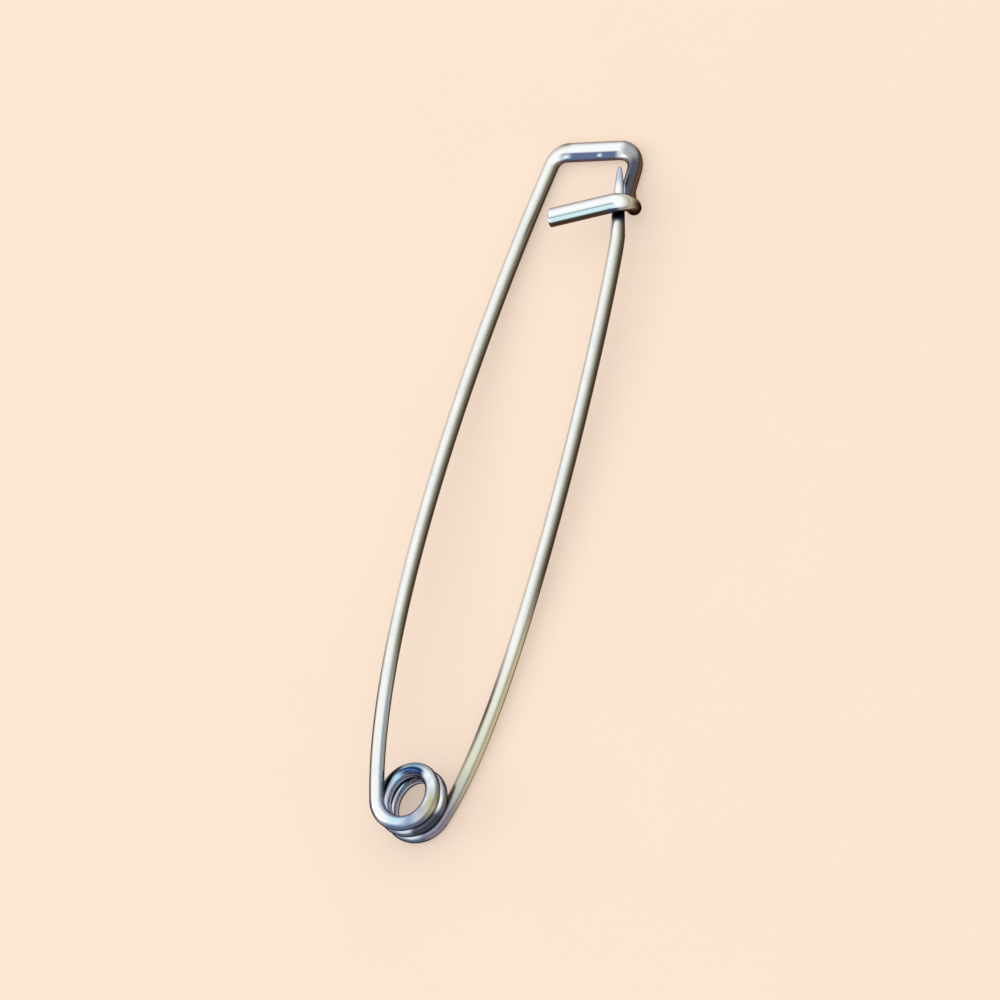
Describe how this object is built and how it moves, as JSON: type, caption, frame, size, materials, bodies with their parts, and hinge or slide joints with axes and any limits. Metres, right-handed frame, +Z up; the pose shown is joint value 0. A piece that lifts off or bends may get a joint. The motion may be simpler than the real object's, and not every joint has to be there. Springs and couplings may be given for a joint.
{
  "type": "safety pin",
  "caption": "Large closed safety pin bent from one round spring wire: sprung coil, back arm, top bar with a hook-and-tail catch, and a pointed pin arm that swings out.",
  "frame": {"origin": "Middle of the pin's footprint, on the floor it lies on.", "axes": "+Y runs from the coil to the catch, +X from the back arm to the pin arm, +Z up out of the plane the pin lies in."},
  "size_m": [0.0258, 0.129, 0.0088],
  "materials": {
    "spring_steel": "bright nickel plate on drawn steel wire, fine drawing marks, light handling wear"
  },
  "bodies": {
    "coil": {"spring_coil": "spring_steel"},
    "frame": {"back_arm": "spring_steel", "top_bar": "spring_steel", "catch_drop": "spring_steel", "catch_hook": "spring_steel", "guard_tail": "spring_steel"},
    "pin": {"pin_arm": "spring_steel", "pin_point": "spring_steel"}
  },
  "joints": [
    {"name": "catch_release", "type": "hinge", "parent": "coil", "child": "frame", "pos_m": [0.0003, -0.05806, 0.0044], "axis": [0.4695, 0, -0.8829], "range_deg": [0, 6.8], "stiffness_Nm_per_rad": 2, "deforming": ["spring_coil"]},
    {"name": "pin_swing", "type": "hinge", "parent": "coil", "child": "pin", "pos_m": [0.0003, -0.05806, 0.0044], "axis": [0, 0, -1], "range_deg": [-3, 40], "deforming": ["spring_coil"]}
  ]
}
